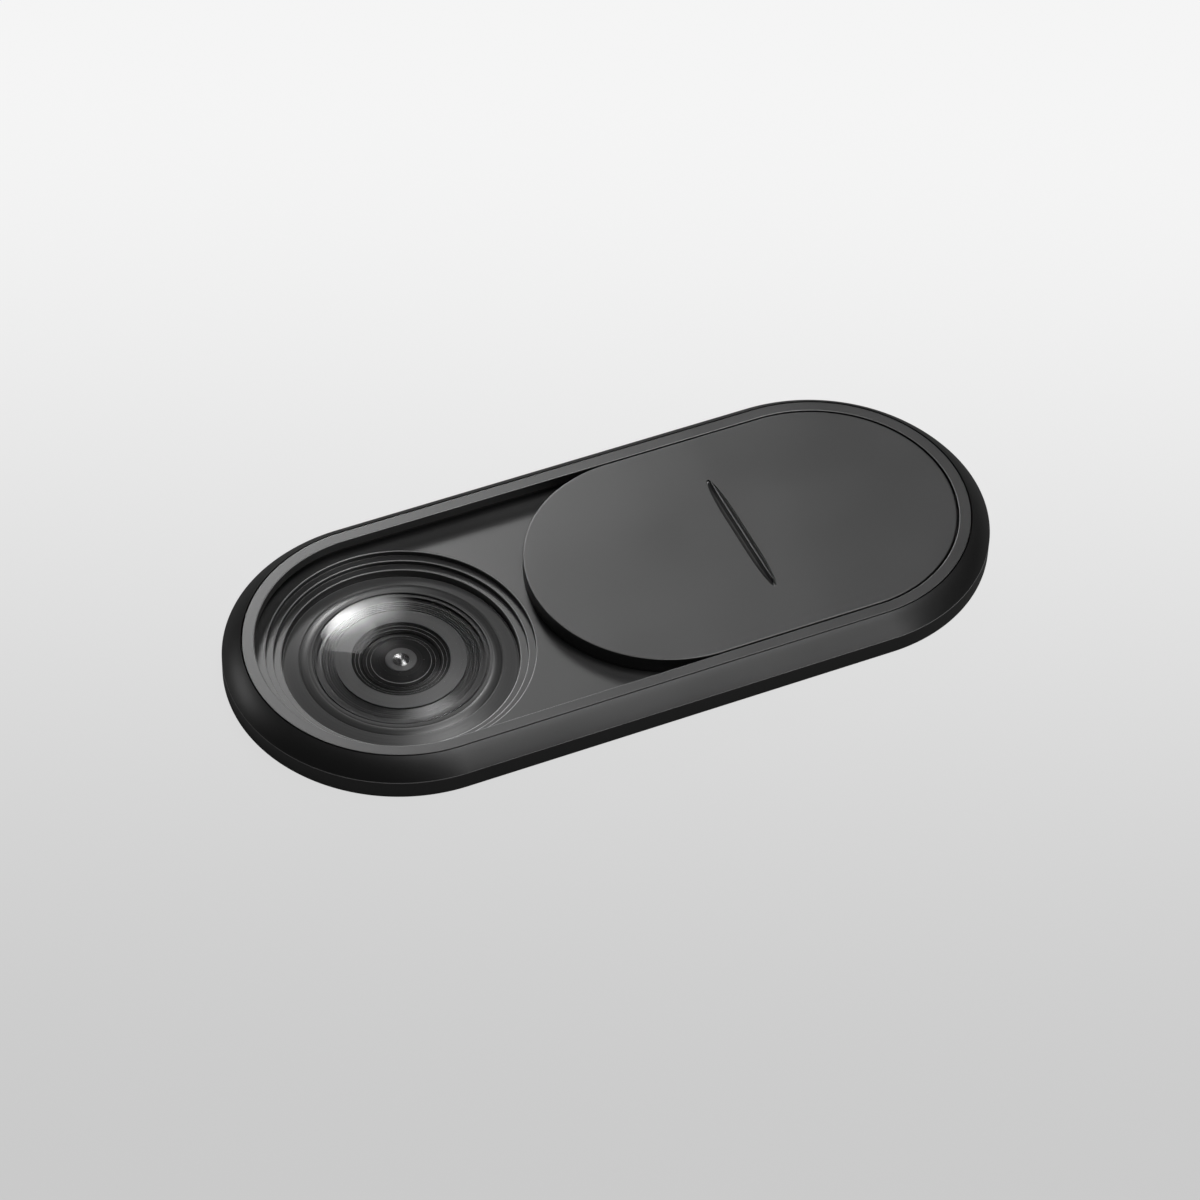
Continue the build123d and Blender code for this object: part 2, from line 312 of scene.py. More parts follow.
def bow(start, end, rise):
    """Points along an arc from start to end, standing rise to the left of the chord at its middle."""
    start = Vector(start)
    chord = Vector(end) - start
    side = Vector((-chord.y, chord.x)).normalized()
    radius = (chord.length**2 / 4 + rise**2) / (2 * rise)
    centre = start + chord / 2 + side * (rise - radius)
    sweep = 2 * math.asin(chord.length / 2 / abs(radius)) * math.copysign(1, rise)
    turns = [Matrix.Rotation(-sweep * step / ARC_STEPS, 2) for step in range(ARC_STEPS + 1)]
    return [centre + turn @ (start - centre) for turn in turns]


def turned(name, section, closed=True):
    """A piece turned round the lens axis from its section."""
    return skin(name, [lens_circle(radius, height) for radius, height in section], closed)


bezel_corners = [
    (LIP_INNER_R, GLASS_SEAT_Z, 0),
    (LENS_BORE_R, GLASS_SEAT_Z, 0),
    (LENS_BORE_R, LENS_BOTTOM, 0),
    (FLANGE_R, LENS_BOTTOM, BEZEL_EDGE_R),
    (FLANGE_R, PLATE_BOTTOM, BEZEL_EDGE_R),
    (BORE_R, PLATE_BOTTOM, 0),
    (BORE_R, BEZEL_EDGE_Z, 0),
    (BEZEL_R, BEZEL_Z, BEZEL_EDGE_R),
    (BEZEL_INNER_R, BEZEL_INNER_Z, GROOVE_EDGE_R),
]
lip = bow((GROOVE_R, GROOVE_Z), (LIP_CREST_R, LIP_Z), -LIP_BULGE)
bezel_corners += [(across, up, 0) for across, up in lip]
bezel_corners.append((LIP_INNER_R, GLASS_EDGE_Z, 0))
turned_acetal = turned_black("turned_black_acetal", "#464646", "#525252", 0.34, 0.46, 0.15, 0.7)
bezel_ring = turned("bezel_ring", rounded(bezel_corners))
fit(bezel_ring, turned_acetal, "housing", "lens_bezel")
# The bezel's outer edge is painted pale, a painted highlight line.
edge_finish_and_highlight(bezel_ring, painted_highlight_abs, [(BEZEL_R, BEZEL_Z)])
polished_acetal = turned_black("polished_black_acetal", "#262626", "#303030", 0.3, 0.38, 0.05, 0.8)
edge_finish_and_highlight(bezel_ring, polished_acetal, [((LIP_CREST_R + GROOVE_R) / 2, LIP_Z)], LIP_REACH)

# Lens back: the black disc that closes the lens from behind, pressed into the bezel.
# Turned from the bezel's acetal. The inner rings stand on it.
BACK_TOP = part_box("lens_back")[1].z / MM
BACK_EDGE_R = 0.01
back_section = rounded([
    (0, LENS_BOTTOM, 0),
    (LENS_BORE_R, LENS_BOTTOM, BACK_EDGE_R),
    (LENS_BORE_R, BACK_TOP, 0),
    (0, BACK_TOP, 0),
])
lens_back = turned("back_disc", back_section, closed=False)
fit(lens_back, turned_acetal, "housing", "lens_back")

# Baffle: the black ring under the edge of the front glass, turned from acetal. Fine saw-tooth grooves near
# its inner edge swallow stray light. The lands between them lean outward, and the face outside them is
# slightly coned, so both catch light from overhead.
SPACER_R = 1.46
BAFFLE_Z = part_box("ribbed_baffle")[1].z / MM
RIB_COUNT = 5
RIB_PITCH = 0.055
RIB_DEPTH = 0.02
LAND_WIDTH = 0.45 * RIB_PITCH
LAND_LEAN = 0.19
BAFFLE_FALL = 0.04
baffle_section = [(SPACER_R, BAFFLE_Z)]
for rib in range(RIB_COUNT):
    rib_r = SPACER_R + (rib + 0.5) * RIB_PITCH
    baffle_section.append((rib_r, BAFFLE_Z - LAND_WIDTH * LAND_LEAN))
    baffle_section.append((rib_r + LAND_WIDTH, BAFFLE_Z - RIB_DEPTH))
    baffle_section.append((rib_r + RIB_PITCH - LAND_WIDTH, BAFFLE_Z))
baffle_section += [(LENS_BORE_R, BAFFLE_Z - BAFFLE_FALL), (LENS_BORE_R, BACK_TOP), (SPACER_R, BACK_TOP)]
baffle_black = turned_black("turned_black_baffle", "#0e0e0e", "#2a2a2a", 0.28, 0.42, 0.1, 0.85)
fit(turned("grooved_baffle", baffle_section), baffle_black, "housing", "ribbed_baffle")

# Spacer: the lighter flat ring that stands above the baffle and holds the barrel in its middle.
# Grey acetal, faced on the lathe.
BARREL_R = 1.09
SPACER_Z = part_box("spacer_ring")[1].z / MM
SPACER_EDGE_R = 0.012
SPACER_BORE_EDGE_R = 0.008
spacer_section = rounded([
    (BARREL_R, BACK_TOP, 0),
    (SPACER_R, BACK_TOP, 0),
    (SPACER_R, SPACER_Z, SPACER_EDGE_R),
    (BARREL_R, SPACER_Z, SPACER_BORE_EDGE_R),
])
faced_grey = turned_black("faced_grey_acetal", "#383838", "#464646", 0.34, 0.44, 0.08, 0.25)
fit(turned("flat_spacer", spacer_section), faced_grey, "housing", "spacer_ring")

# Inner barrel: the black cup in the spacer, whose wall comes down in steps. Turned from black acetal, like
# the bezel, with the edges of its two upper steps and its lowest one painted pale as fine highlight lines.
INNER_LENS_R = 0.76
BARREL_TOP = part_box("inner_barrel")[1].z / MM
BARREL_FLOOR = 0.08
STEP_COUNT = 4
BARREL_EDGE_R = 0.01
BARREL_EDGE_REACH = 0.007
step_width = (BARREL_R - INNER_LENS_R) / STEP_COUNT
step_fall = (BARREL_TOP - BARREL_FLOOR) / STEP_COUNT
barrel_corners = [(0, BACK_TOP, 0), (BARREL_R, BACK_TOP, 0), (BARREL_R, BARREL_TOP, 0)]
barrel_edges = []
for step in range(1, STEP_COUNT + 1):
    step_r = BARREL_R - step * step_width
    step_top = BARREL_TOP - (step - 1) * step_fall
    barrel_edges.append((step_r, step_top))
    barrel_corners.append((step_r, step_top, BARREL_EDGE_R))
    barrel_corners.append((step_r, BARREL_TOP - step * step_fall, 0))
barrel_corners.append((0, BARREL_FLOOR, 0))
barrel_black = turned_black("turned_black_barrel", "#0a0a0a", "#121212", 0.26, 0.38, 0.08, 0.1)
stepped_barrel = turned("stepped_barrel", rounded(barrel_corners), closed=False)
fit(stepped_barrel, barrel_black, "housing", "inner_barrel")
# Pale acetal for edge lines: a painted highlight.
painted_highlight_acetal = turned_black("painted_highlight_acetal_edge", "#7c7c7c", "#8c8c8c", 0.3, 0.4, 0.05, 0.7)
# Three step edges are painted pale, as painted highlight lines.
edge_finish_and_highlight(stepped_barrel, painted_highlight_acetal, barrel_edges[:2] + barrel_edges[-1:], BARREL_EDGE_REACH)

# Inner lens: the dark domed element at the bottom of the barrel, open at its middle for the iris.
# Moulded dark glass, blackened behind, with fine rings from its mould and a narrow shoulder painted pale as
# a highlight.
IRIS_R = 0.35
INNER_LENS_EDGE_Z = 0.10
INNER_LENS_TOP = 0.15
INNER_LENS_BULGE = 0.008
LENS_SHOULDER_R = 0.665
LENS_SHOULDER_Z = 0.124
LENS_SHOULDER_STEP = 0.007
LENS_SHOULDER_REACH = 0.006
shoulder_foot = (LENS_SHOULDER_R + LENS_SHOULDER_STEP, LENS_SHOULDER_Z - LENS_SHOULDER_STEP)
shoulder_middle = (LENS_SHOULDER_R + LENS_SHOULDER_STEP / 2, LENS_SHOULDER_Z - LENS_SHOULDER_STEP / 2)
inner_section = [(INNER_LENS_R, BARREL_FLOOR), (INNER_LENS_R, INNER_LENS_EDGE_Z), shoulder_foot]
inner_section += bow((LENS_SHOULDER_R, LENS_SHOULDER_Z), (IRIS_R, INNER_LENS_TOP), -INNER_LENS_BULGE)
inner_section.append((IRIS_R, BARREL_FLOOR))
dark_glass = turned_black("moulded_dark_glass", "#040404", "#262626", 0.3, 0.4, 0.1, 0.05)
inner_element = turned("inner_element", inner_section)
fit(inner_element, dark_glass, "housing", "inner_lens")
# The shoulder is painted pale, a painted highlight line.
edge_finish_and_highlight(inner_element, painted_highlight_acetal, [shoulder_middle], LENS_SHOULDER_REACH)

# Iris: the small ring round the pupil, pressed into the middle of the inner lens.
# Stamped grey sheet, lightly brushed round its hole.
PUPIL_R = 0.185
IRIS_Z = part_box("iris_ring")[1].z / MM
IRIS_EDGE_R = 0.012
iris_section = rounded([
    (PUPIL_R, BARREL_FLOOR, 0),
    (IRIS_R, BARREL_FLOOR, 0),
    (IRIS_R, IRIS_Z, IRIS_EDGE_R),
    (PUPIL_R, IRIS_Z, IRIS_EDGE_R),
])
stamped_grey = turned_black("stamped_grey_iris", "#363636", "#3e3e3e", 0.36, 0.46, 0.08, 0.2)
fit(turned("iris", iris_section), stamped_grey, "housing", "iris_ring")

# Pupil: the strongly domed bead in the iris. Dark glass with a reflecting coat, polished as it turned, so
# that fine marks round its axis draw each lamp out into a bright wedge.
PUPIL_EDGE_Z = 0.165
PUPIL_APEX_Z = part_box("pupil_lens")[1].z / MM
BEAD_STEPS = 16
BEAD_DRIFT = 0.3


def dome(edge_r, edge_z, apex_z, steps):
    """Points of a spherical cap from its edge to its apex."""
    drop = apex_z - edge_z
    ball_r = (edge_r**2 + drop**2) / (2 * drop)
    slopes = [math.asin(edge_r / ball_r) * (1 - step / steps) for step in range(steps + 1)]
    return [(ball_r * math.sin(slope), apex_z - ball_r * (1 - math.cos(slope))) for slope in slopes]


def coated_glass():
    """Coated dark glass: nearly black, with a faint drift of tone and a strong reflection that its polishing
    marks spread across themselves."""
    material = new_material("coated_glass_bead")
    tree = material.node_tree
    place = add(tree, "ShaderNodeTexCoord", {}).outputs["Object"]
    drift = add(tree, "ShaderNodeTexNoise", {"Vector": place, "Scale": 1 / (BEAD_DRIFT * MM), "Detail": 2.0})
    tone = add(tree, "ShaderNodeMixRGB", {
        "Fac": drift.outputs["Fac"], "Color1": linear("#0c0c0c"), "Color2": linear("#141414"),
    })
    marks = add(tree, "ShaderNodeTangent", {}, direction_type="RADIAL", axis="Z")
    shader = add(tree, "ShaderNodeBsdfPrincipled", {
        "Base Color": tone.outputs["Color"], "Roughness": 0.24, "IOR": 2.6, "Anisotropic": 0.9,
        "Anisotropic Rotation": 0.25, "Tangent": marks.outputs["Tangent"],
    })
    add(tree, "ShaderNodeOutputMaterial", {"Surface": shader.outputs["BSDF"]})
    return material


pupil_section = [(0, BARREL_FLOOR), (PUPIL_R, BARREL_FLOOR)]
pupil_section += dome(PUPIL_R, PUPIL_EDGE_Z, PUPIL_APEX_Z, BEAD_STEPS)
pupil_bead = turned("pupil_bead", pupil_section, closed=False)
fit(pupil_bead, coated_glass(), "housing", "pupil_lens")

# Front glass: the clear dome over the whole lens, an even shell on a short foot, seated inside
# the bezel's lip. Optical glass, polished on both faces, with a fine-ground bevel round its edge and grey
# ink on its foot.
GLASS_BACK_R = 1.90
GLASS_APEX_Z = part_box("front_glass")[1].z / MM
GLASS_THICKNESS = 0.07
GLASS_CROWN = 0.155
GLASS_SINK = 0.03
GROUND_EDGE = 0.049
GROUND_REACH = 0.03
INK_REACH = 0.09
DOME_STEPS = 40
SMEAR_SIZE = 0.8


def clear_glass():
    """Clear coated glass: a faint clean reflection on each face, dulled a little where it is smeared.
    It lets the lamps' light through to the rings."""
    material = new_material("clear_coated_optical_glass")
    tree = material.node_tree
    place = add(tree, "ShaderNodeTexCoord", {}).outputs["Object"]
    smear = add(tree, "ShaderNodeTexNoise", {"Vector": place, "Scale": 1 / (SMEAR_SIZE * MM), "Detail": 4.0})
    film = add(tree, "ShaderNodeMapRange", {
        "Value": smear.outputs["Fac"], "From Min": 0.35, "From Max": 0.75, "To Min": 0.0, "To Max": 0.05,
    })
    bend = add(tree, "ShaderNodeBsdfRefraction", {"Color": linear("#fcfcfc"), "Roughness": 0.0, "IOR": 1.5})
    shine = add(tree, "ShaderNodeBsdfGlossy", {
        "Color": linear("#ffffff"), "Roughness": film.outputs["Result"],
    })
    coat = add(tree, "ShaderNodeFresnel", {"IOR": 1.2})
    shader = add(tree, "ShaderNodeMixShader", {
        0: coat.outputs["Fac"], 1: bend.outputs["BSDF"], 2: shine.outputs["BSDF"],
    })
    through = add(tree, "ShaderNodeBsdfTransparent", {"Color": linear("#fafafa")})
    path = add(tree, "ShaderNodeLightPath", {})
    mixed = add(tree, "ShaderNodeMixShader", {
        0: path.outputs["Is Shadow Ray"], 1: shader.outputs["Shader"], 2: through.outputs["BSDF"],
    })
    add(tree, "ShaderNodeOutputMaterial", {"Surface": mixed.outputs["Shader"]})
    return material


glass_top = GLASS_APEX_Z - GLASS_SINK
crown_z = glass_top - GLASS_CROWN
foot_middle = ((GLASS_BACK_R + LIP_INNER_R) / 2, GLASS_SEAT_Z)
bevel_middle = (LIP_INNER_R - GROUND_EDGE / 2, crown_z - GROUND_EDGE / 2)
outer_face = dome(LIP_INNER_R - GROUND_EDGE, crown_z, glass_top, DOME_STEPS)
inner_face = dome(GLASS_BACK_R, crown_z - GLASS_THICKNESS, glass_top - GLASS_THICKNESS, DOME_STEPS)
glass_section = [
    (GLASS_BACK_R, GLASS_SEAT_Z),
    (LIP_INNER_R, GLASS_SEAT_Z),
    (LIP_INNER_R, crown_z - GROUND_EDGE),
]
glass_section += outer_face + inner_face[::-1]
front_element = turned("front_element", glass_section)
fit(front_element, clear_glass(), "housing", "front_glass")
edge_ink = turned_black("grey_lens_edge_ink", "#464646", "#505050", 0.5, 0.6, 0.05, 0.2)
edge_finish_and_highlight(front_element, edge_ink, [foot_middle], INK_REACH)
ground_glass = turned_black("fine_ground_glass_edge", "#6c6c6c", "#7c7c7c", 0.5, 0.6, 0.05, 0.3)
edge_finish_and_highlight(front_element, ground_glass, [bevel_middle], GROUND_REACH)

# Shutter: the thin oval slider, flush with the rim, with tongues along its straight sides under the rim's
# lip. A slim round-ended grip ridge stands in a shallow relief across it. One moulding of the housing's ABS.
RIM_TOP = 0.94
SHUTTER_R = 3.132
SHUTTER_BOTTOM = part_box("shutter")[0].z / MM
SHUTTER_MIN_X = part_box("shutter")[0].x / MM
SHUTTER_MAX_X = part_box("shutter")[1].x / MM
SHUTTER_X = (SHUTTER_MIN_X + SHUTTER_MAX_X) / 2
SHUTTER_HALF = (SHUTTER_MAX_X - SHUTTER_MIN_X) / 2 - SHUTTER_R
SHUTTER_EDGE_R = 0.022
SHUTTER_CHAMFER = 0.01
TONGUE_REACH = 0.123
TONGUE_THICKNESS = 0.13
TONGUE_LEAD = 0.12
END_STEPS = 128
GRIP_MIDDLE = 1.2
GRIP_END = 1.2
GRIP_END_STEP = 0.04
GRIP_CREST_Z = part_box("shutter")[1].z / MM
RELIEF_WIDTH = 0.30
RELIEF_DEPTH = 0.03
RELIEF_MARGIN = 0.015
RELIEF_EDGE = 0.003
RELIEF_EDGE_FALL = 0.004
RELIEF_DRAFT = 0.01
FOOT_WIDTH = 0.27
APRON_WIDTH = 0.225
APRON_RISE = 0.018
SHOULDER_WIDTH = 0.13
SHOULDER_RISE = 0.035
CREST_WIDTH = 0.03


def shutter_loop(radius, height, reach=0.0):
    """A loop round the shutter, its straight sides standing out by reach as tongues with slanted leads."""
    loop = []
    for side in (1, -1):
        for step in range(END_STEPS + 1):
            angle = math.pi * (step / END_STEPS - 0.5)
            across = side * (SHUTTER_HALF + radius * math.cos(angle))
            loop.append((SHUTTER_X + across, side * radius * math.sin(angle), height))
        for lead in (1, -1):
            across = side * lead * (SHUTTER_HALF - TONGUE_LEAD)
            loop.append((SHUTTER_X + across, side * (radius + reach), height))
    return loop


def grip_loop(width, end, height, offset=0.0):
    """A slim loop along Y, straight in its middle, with long round ends.
    It has as many points as the shutter's loops."""
    middle = SHUTTER_X + offset
    loop = []
    for side in (1, -1):
        for step in range(END_STEPS + 1):
            angle = math.pi * (step / END_STEPS - 0.5)
            along = math.copysign(GRIP_MIDDLE / 2, angle) + end * math.sin(angle)
            loop.append((middle + side * width / 2 * math.cos(angle), side * along, height))
        loop += [(middle, side * (GRIP_MIDDLE / 2 + end), height)] * 2
    return loop


tongue_top = SHUTTER_BOTTOM + TONGUE_THICKNESS
relief_z = RIM_TOP - RELIEF_DEPTH
crest_end = GRIP_END - 4 * GRIP_END_STEP
shutter_loops = [
    shutter_loop(SHUTTER_R - SHUTTER_CHAMFER, SHUTTER_BOTTOM, TONGUE_REACH),
    shutter_loop(SHUTTER_R, SHUTTER_BOTTOM + SHUTTER_CHAMFER, TONGUE_REACH),
    shutter_loop(SHUTTER_R, tongue_top, TONGUE_REACH),
    shutter_loop(SHUTTER_R, tongue_top),
]
for step in range(EDGE_STEPS + 1):
    angle = math.pi / 2 * step / EDGE_STEPS
    inset = SHUTTER_EDGE_R * (1 - math.cos(angle))
    fall = SHUTTER_EDGE_R * (1 - math.sin(angle))
    shutter_loops.append(shutter_loop(SHUTTER_R - inset, RIM_TOP - fall))
shutter_loops += [
    shutter_loop(SHUTTER_R - 2 * SHUTTER_EDGE_R, RIM_TOP),
    grip_loop(RELIEF_WIDTH + 2 * RELIEF_MARGIN, GRIP_END + RELIEF_MARGIN, RIM_TOP),
    grip_loop(RELIEF_WIDTH + 2 * RELIEF_EDGE, GRIP_END + RELIEF_EDGE, RIM_TOP),
    grip_loop(RELIEF_WIDTH, GRIP_END, RIM_TOP - RELIEF_EDGE_FALL),
    grip_loop(RELIEF_WIDTH - RELIEF_DRAFT, GRIP_END - RELIEF_DRAFT, relief_z),
    grip_loop(FOOT_WIDTH, GRIP_END - GRIP_END_STEP, relief_z),
    grip_loop(APRON_WIDTH, GRIP_END - 2 * GRIP_END_STEP, relief_z + APRON_RISE),
    grip_loop(SHOULDER_WIDTH, GRIP_END - 3 * GRIP_END_STEP, relief_z + SHOULDER_RISE),
]

# The ridge's rounded crest in four loops: how wide each is, how far its ends draw in, how far it lies below
# the top, and how far it leans towards +X.
crest_rounding = [
    (CREST_WIDTH + 0.004, -0.002, 0.010, 0.0),
    (CREST_WIDTH, 0.0, 0.004, 0.0),
    (CREST_WIDTH * 0.4, 0.005, 0.0005, 0.006),
    (CREST_WIDTH * 0.1, 0.010, 0.0, 0.008),
]
for width, shorter, fall, lean in crest_rounding:
    shutter_loops.append(grip_loop(width, crest_end - shorter, GRIP_CREST_Z - fall, lean))
shutter_abs = satin_abs("satin_abs_shutter", "#141414", "#1b1b1b", 0.34, 0.42)
fit(skin("sliding_shutter", shutter_loops, closed=False), shutter_abs, "slider", "shutter")

# Rim: the flat ring inside the bevel, with the track for the shutter's tongues under its lip.
# Moulded in the housing's ABS and trapped by the surround's shoulder.
RIM_OUTER_R = 3.465
RIM_INNER_R = 3.177
RIM_FOOT_HEIGHT = 0.13
RIM_FOOT_TOP = FLOOR_Z + RIM_FOOT_HEIGHT
TRACK_DEPTH = 0.125
TRACK_HEIGHT = 0.17
TRACK_R = RIM_INNER_R + TRACK_DEPTH
TRACK_TOP = FLOOR_Z + TRACK_HEIGHT
TRACK_EDGE_R = 0.01
SEAM_GAP = 0.02
SEAM_EDGE_R = 0.012
RIM_EDGE_R = 0.016
RIM_EDGE_REACH = 0.009


def oval_loop(radius, height):
    """A loop round the whole oval, finely stepped at its round ends."""
    loop = []
    for side in (1, -1):
        for step in range(END_STEPS + 1):
            angle = math.pi * (step / END_STEPS - 0.5)
            loop.append((side * (END_X + radius * math.cos(angle)), side * radius * math.sin(angle), height))
    return loop


rim_section = rounded([
    (TRACK_R, FLOOR_Z, 0),
    (PLATE_R, FLOOR_Z, 0),
    (PLATE_R, RIM_FOOT_TOP, 0),
    (RIM_OUTER_R - SEAM_GAP, RIM_FOOT_TOP, 0),
    (RIM_OUTER_R - SEAM_GAP, RIM_TOP, SEAM_EDGE_R),
    (RIM_INNER_R, RIM_TOP, RIM_EDGE_R),
    (RIM_INNER_R, TRACK_TOP, TRACK_EDGE_R),
    (TRACK_R, TRACK_TOP, 0),
])
flat_rim = skin("flat_rim", [oval_loop(radius, height) for radius, height in rim_section])
fit(flat_rim, housing_abs, "housing", "track_ring")
# The rim's inner edge is painted pale, a painted highlight line.
edge_finish_and_highlight(flat_rim, painted_highlight_abs, [(RIM_INNER_R, RIM_TOP)], RIM_EDGE_REACH, oval=True)

# Surround: the bevelled oval wall round everything, pressed down over the rim's foot.
# The housing's ABS, with a short upright wall and a slightly rounded bevel above it.
WALL_TOP = 0.53
WALL_EDGE_R = 0.03
BEVEL_BULGE = 0.03
SURROUND_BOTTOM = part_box("outer_frame")[0].z / MM
SURROUND_FOOT_R = 0.025
bevel = bow((OUTER_R, WALL_TOP), (RIM_OUTER_R + SEAM_EDGE_R, RIM_TOP), -BEVEL_BULGE)
surround_corners = [
    (RIM_OUTER_R, RIM_TOP - 2 * SEAM_EDGE_R, 0),
    (RIM_OUTER_R, RIM_FOOT_TOP, 0),
    (PLATE_R, RIM_FOOT_TOP, 0),
    (PLATE_R, SURROUND_BOTTOM, 0),
    (OUTER_R, SURROUND_BOTTOM, SURROUND_FOOT_R),
    (OUTER_R, WALL_TOP, WALL_EDGE_R),
]
surround_corners += [(across, up, 0) for across, up in bevel[1:]]
surround_loops = [oval_loop(radius, height) for radius, height in rounded(surround_corners)]
surround = skin("bevelled_surround", surround_loops)
fit(surround, housing_abs, "housing", "outer_frame")
# The top of the upright wall is painted pale, a painted highlight line.
edge_finish_and_highlight(surround, painted_highlight_abs, [(OUTER_R, WALL_TOP)], oval=True)

# Stick-on pad: thin double-sided film on the back, die-cut to the oval and round the lens.
# Black acrylic adhesive, smooth and slightly glossy, with a faint orange-peel from its liner.
PAD_R = 3.62
PAD_WINDOW_R = 2.86
PAD_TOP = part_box("adhesive_pad")[1].z / MM
PEEL_WIDTH = 0.25
PEEL_DEPTH = 0.006


def acrylic_film():
    """Tacky black acrylic: even, dark and half glossy over a shallow ripple."""
    material = new_material("black_acrylic_adhesive")
    tree = material.node_tree
    place = add(tree, "ShaderNodeTexCoord", {}).outputs["Object"]
    ripple = add(tree, "ShaderNodeTexNoise", {
        "Vector": place, "Scale": 1 / (PEEL_WIDTH * MM), "Detail": 3.0,
    })
    tone = add(tree, "ShaderNodeMixRGB", {
        "Fac": ripple.outputs["Fac"], "Color1": linear("#131314"), "Color2": linear("#1d1d1f"),
    })
    gloss = add(tree, "ShaderNodeMapRange", {
        "Value": ripple.outputs["Fac"], "From Min": 0.3, "From Max": 0.7, "To Min": 0.38, "To Max": 0.55,
    })
    relief = add(tree, "ShaderNodeBump", {
        "Height": ripple.outputs["Fac"], "Strength": 0.3, "Distance": PEEL_DEPTH * MM,
    })
    shader = add(tree, "ShaderNodeBsdfPrincipled", {
        "Base Color": tone.outputs["Color"], "Roughness": gloss.outputs["Result"], "IOR": 1.47,
        "Normal": relief.outputs["Normal"],
    })
    add(tree, "ShaderNodeOutputMaterial", {"Surface": shader.outputs["BSDF"]})
    return material


pad_loops = [
    lens_circle(PAD_WINDOW_R, 0.0),
    lens_circle(PAD_WINDOW_R, PAD_TOP),
    oval_about_lens(PAD_R, PAD_TOP),
    oval_about_lens(PAD_R, 0.0),
]
fit(skin("stick_on_film", pad_loops), acrylic_film(), "housing", "adhesive_pad")

# Floor: a plain pale sheet just under the part, brighter towards the back of the picture.
# It keeps the part's soft shadow, lightened for the eye by a share of its own light.
FLOOR_HALF = 1500.0
FLOOR_GAP = 0.004
FADE_HALF = 18.0
VIEW_BEARING = math.radians(-25.519)
SEEN_SHARE = 0.85
MIRRORED_SHARE = 0.04


def pale_floor():
    """Matt white sheet, lit by the lamps, with a share of its own light, painted brighter towards the back,
    that views and reflections see.
    """
    material = new_material("matt_white_sheet")
    tree = material.node_tree
    place = add(tree, "ShaderNodeTexCoord", {}).outputs["Object"]
    away = (-math.sin(VIEW_BEARING), math.cos(VIEW_BEARING), 0)
    along = add(tree, "ShaderNodeVectorMath", {0: place, 1: away}, operation="DOT_PRODUCT")
    fade = add(tree, "ShaderNodeMapRange", {
        "Value": along.outputs["Value"], "From Min": -FADE_HALF * MM, "From Max": FADE_HALF * MM,
    }, interpolation_type="SMOOTHSTEP")
    tone = add(tree, "ShaderNodeMixRGB", {
        "Fac": fade.outputs["Result"], "Color1": linear("#d2d2d2"), "Color2": linear("#ffffff"),
    })
    own = add(tree, "ShaderNodeEmission", {"Color": tone.outputs["Color"], "Strength": 1.06})
    lit = add(tree, "ShaderNodeBsdfDiffuse", {"Color": linear("#5c5c5c")})
    path = add(tree, "ShaderNodeLightPath", {})
    seen = add(tree, "ShaderNodeMath", {
        0: path.outputs["Is Camera Ray"], 1: path.outputs["Is Transmission Ray"],
    }, operation="MAXIMUM")
    mirrored = add(tree, "ShaderNodeMath", {
        0: path.outputs["Is Glossy Ray"], 1: MIRRORED_SHARE,
    }, operation="MULTIPLY")
    share = add(tree, "ShaderNodeMath", {
        0: seen.outputs["Value"], 1: SEEN_SHARE, 2: mirrored.outputs["Value"],
    }, operation="MULTIPLY_ADD")
    mixed = add(tree, "ShaderNodeMixShader", {
        0: share.outputs["Value"], 1: lit.outputs["BSDF"], 2: own.outputs["Emission"],
    })
    add(tree, "ShaderNodeOutputMaterial", {"Surface": mixed.outputs["Shader"]})
    return material


sheet_mesh = bpy.data.meshes.new("floor_sheet")
sheet_corners = [(-1, -1, 0), (1, -1, 0), (1, 1, 0), (-1, 1, 0)]
sheet_points = [Vector(corner) * FLOOR_HALF * MM for corner in sheet_corners]
sheet_mesh.from_pydata(sheet_points, [], [(0, 1, 2, 3)])
floor_sheet = bpy.data.objects.new("floor_sheet", sheet_mesh)
floor_sheet.location.z = -FLOOR_GAP * MM
bpy.context.scene.collection.objects.link(floor_sheet)
floor_sheet.data.materials.append(pale_floor())

# Light: a flagged softbox behind gives the sheen and the lens's wedge-shaped highlight, and a feathered one
# beside it the glow round that. Two high up light the turned rings and the flat faces from above, one in
# front the near bevel, and one far left the round end.
LAMP_DISTANCE = 140


def softbox(name, bearing, elevation, width, height, radiance, roll=0.0):
    """A rectangular lamp of even brightness, bearing clockwise from +Y, facing the middle of the part."""
    turn = math.radians(bearing)
    rise = math.radians(elevation)
    direction = Vector((math.sin(turn) * math.cos(rise), math.cos(turn) * math.cos(rise), math.sin(rise)))
    lamp = bpy.data.lights.new(name, "AREA")
    lamp.shape = "RECTANGLE"
    lamp.size = width * MM
    lamp.size_y = height * MM
    lamp.energy = radiance * math.pi * lamp.size * lamp.size_y
    box = bpy.data.objects.new(name, lamp)
    facing = direction.to_track_quat("Z", "Y").to_matrix().to_4x4()
    spin = Matrix.Rotation(math.radians(roll), 4, "Z")
    box.matrix_world = Matrix.Translation(direction * LAMP_DISTANCE * MM) @ facing @ spin
    box.visible_camera = False
    bpy.context.scene.collection.objects.link(box)
    return lamp


